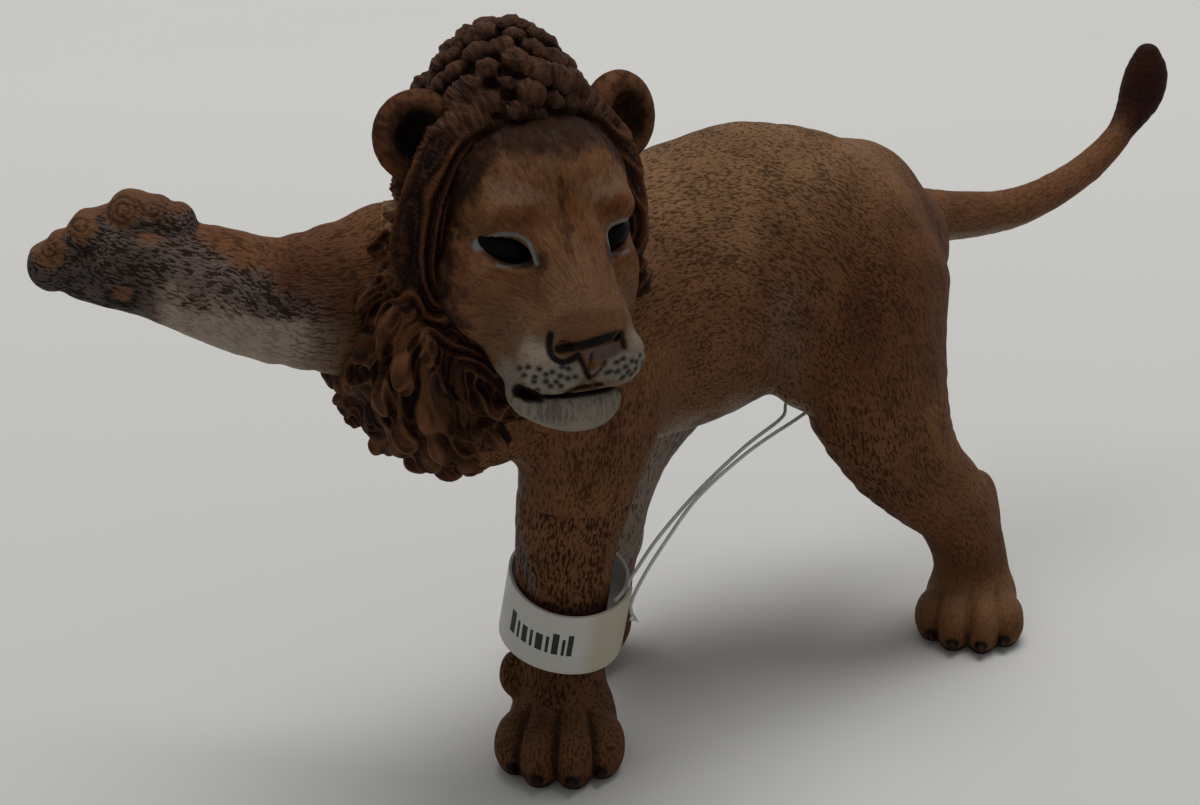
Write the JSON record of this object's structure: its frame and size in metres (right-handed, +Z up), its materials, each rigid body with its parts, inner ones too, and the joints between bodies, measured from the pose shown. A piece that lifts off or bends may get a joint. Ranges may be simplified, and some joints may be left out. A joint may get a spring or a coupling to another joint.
{
  "type": "toy wild animal figure",
  "caption": "Painted toy lion standing with one forepaw raised and its head turned, with a plastic tag strip round the standing foreleg on a nylon thread.",
  "frame": {"origin": "centre of the figure's footprint box, on the floor under its paws", "axes": "+Z up; the animal stands facing -Y with its head turned to its left; +X is its left side"},
  "size_m": [0.0512, 0.149, 0.0797],
  "materials": {
    "painted_coat": "satin paint over engraved fur, with a dark wash in the strokes",
    "painted_mane": "dark brown paint, dry-brushed lighter on the ridges of the curls",
    "white_strip": "thin white strip with a satin face",
    "clear_nylon": "clear nylon monofilament"
  },
  "bodies": {
    "figure": {"torso": "painted_coat", "head": "painted_coat", "mane": "painted_mane", "right_foreleg": "painted_coat", "left_foreleg": "painted_coat", "left_hind_leg": "painted_coat", "right_hind_leg": "painted_coat", "tail": "painted_coat"},
    "tag": {"tag_band": "white_strip", "tag_thread": "clear_nylon"}
  },
  "joints": [
    {"name": "tag_turn", "type": "hinge", "parent": "figure", "child": "tag", "pos_m": [0.00511, -0.03245, 0.01766], "axis": [0.2332, -0.0389, 0.9717], "range_deg": [-1, 9]}
  ]
}
